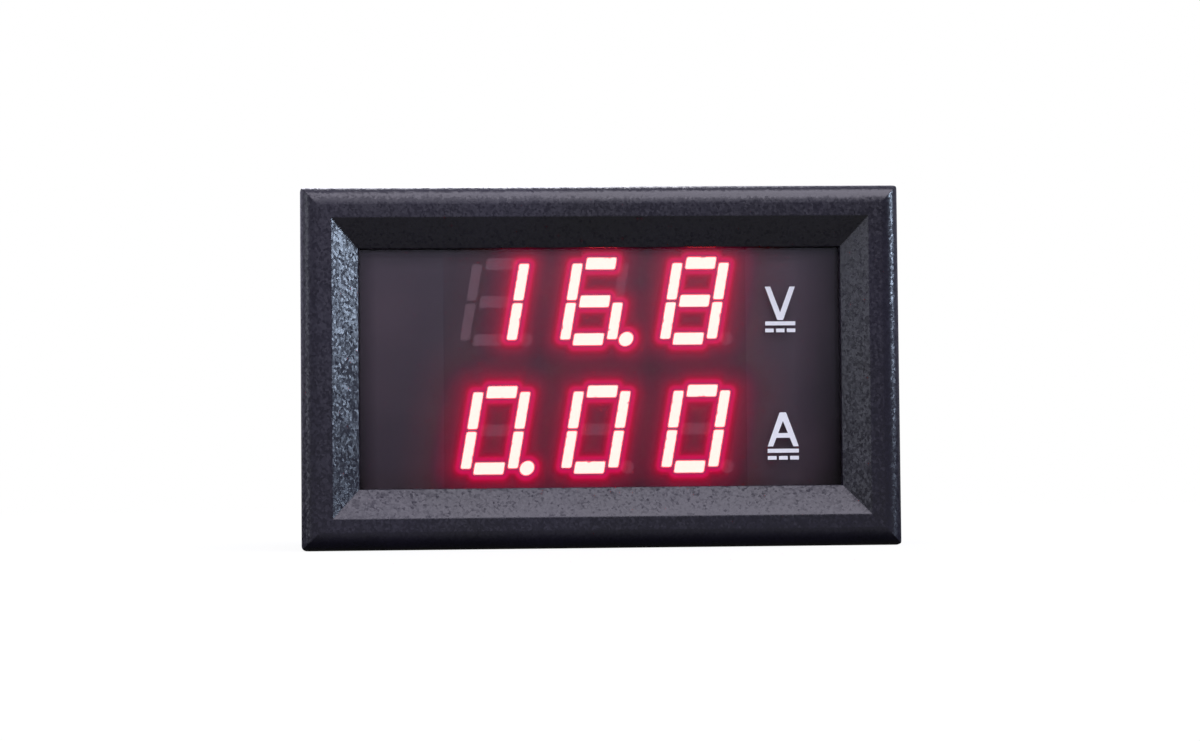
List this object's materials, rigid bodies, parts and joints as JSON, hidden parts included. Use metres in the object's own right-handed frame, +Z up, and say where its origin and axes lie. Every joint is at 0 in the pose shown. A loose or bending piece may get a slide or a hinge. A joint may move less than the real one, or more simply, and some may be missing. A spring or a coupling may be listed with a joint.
{
  "type": "digital panel meter",
  "caption": "Snap-in rectangular panel meter with rows of seven-segment digits behind a smoked window and plug sockets on its open back.",
  "frame": {"origin": "middle of the frame's back face, which seats on the panel", "axes": "+X right along the long side as the viewer sees it, +Y from the viewer into the panel, +Z up; the window faces -Y"},
  "size_m": [0.048, 0.022, 0.029],
  "materials": {
    "housing_plastic": "fine grained",
    "window_acrylic": "smoked, polished",
    "display_black": "matte black face over a white moulding",
    "display_resin": "milky casting",
    "substrate_board": "satin",
    "die_red": "light-emitting chip",
    "tinned_pin": "tinned",
    "board_green": "solder mask",
    "solder": "bright",
    "power_nylon": "natural nylon",
    "signal_nylon": "natural nylon",
    "shunt_alloy": "drawn resistance wire",
    "trimmer_ceramic": "ceramic",
    "trimmer_metal": "plated",
    "chip_black": "moulded epoxy",
    "lead_tin": "tinned",
    "resistor_black": "glazed",
    "capacitor_tan": "ceramic",
    "can_aluminium": "drawn",
    "foot_black": "moulded"
  },
  "bodies": {
    "meter": {"housing": "housing_plastic", "window": "window_acrylic", "circuit_board": "board_green", "solder_joints": "solder", "power_socket_shell": "power_nylon", "power_socket_pins": "tinned_pin", "signal_socket_shell": "signal_nylon", "signal_socket_pins": "tinned_pin", "current_shunt": "shunt_alloy", "controller_body": "chip_black", "controller_leads": "lead_tin", "amplifier_body": "chip_black", "amplifier_leads": "lead_tin", "regulator_body": "chip_black", "regulator_metal": "lead_tin", "diode_body": "chip_black", "diode_metal": "lead_tin", "chip_resistor_bodies": "resistor_black", "chip_resistor_ends": "lead_tin", "chip_capacitor_bodies": "capacitor_tan", "chip_capacitor_ends": "lead_tin", "can_capacitor": "can_aluminium", "can_capacitor_foot": "foot_black", "can_capacitor_leads": "lead_tin", "display_shell_upper": "display_black", "display_resin_upper": "display_resin", "display_substrate_upper": "substrate_board", "display_dies_upper": "die_red", "display_pins_upper": "tinned_pin", "display_shell_lower": "display_black", "display_resin_lower": "display_resin", "display_substrate_lower": "substrate_board", "display_dies_lower": "die_red", "display_pins_lower": "tinned_pin", "volt_trimmer_base": "trimmer_ceramic", "volt_trimmer_terminals": "lead_tin", "amp_trimmer_base": "trimmer_ceramic", "amp_trimmer_terminals": "lead_tin"},
    "volt_rotor": {"volt_trimmer_rotor": "trimmer_metal"},
    "amp_rotor": {"amp_trimmer_rotor": "trimmer_metal"}
  },
  "joints": [
    {"name": "volt_trimmer_turn", "type": "hinge", "parent": "meter", "child": "volt_rotor", "pos_m": [-0.00394, 0.0093, -0.00498], "axis": [0, 1, 0], "range_deg": [-120, 120]},
    {"name": "amp_trimmer_turn", "type": "hinge", "parent": "meter", "child": "amp_rotor", "pos_m": [0.00248, 0.0093, -0.00498], "axis": [0, 1, 0], "range_deg": [-120, 120]}
  ]
}
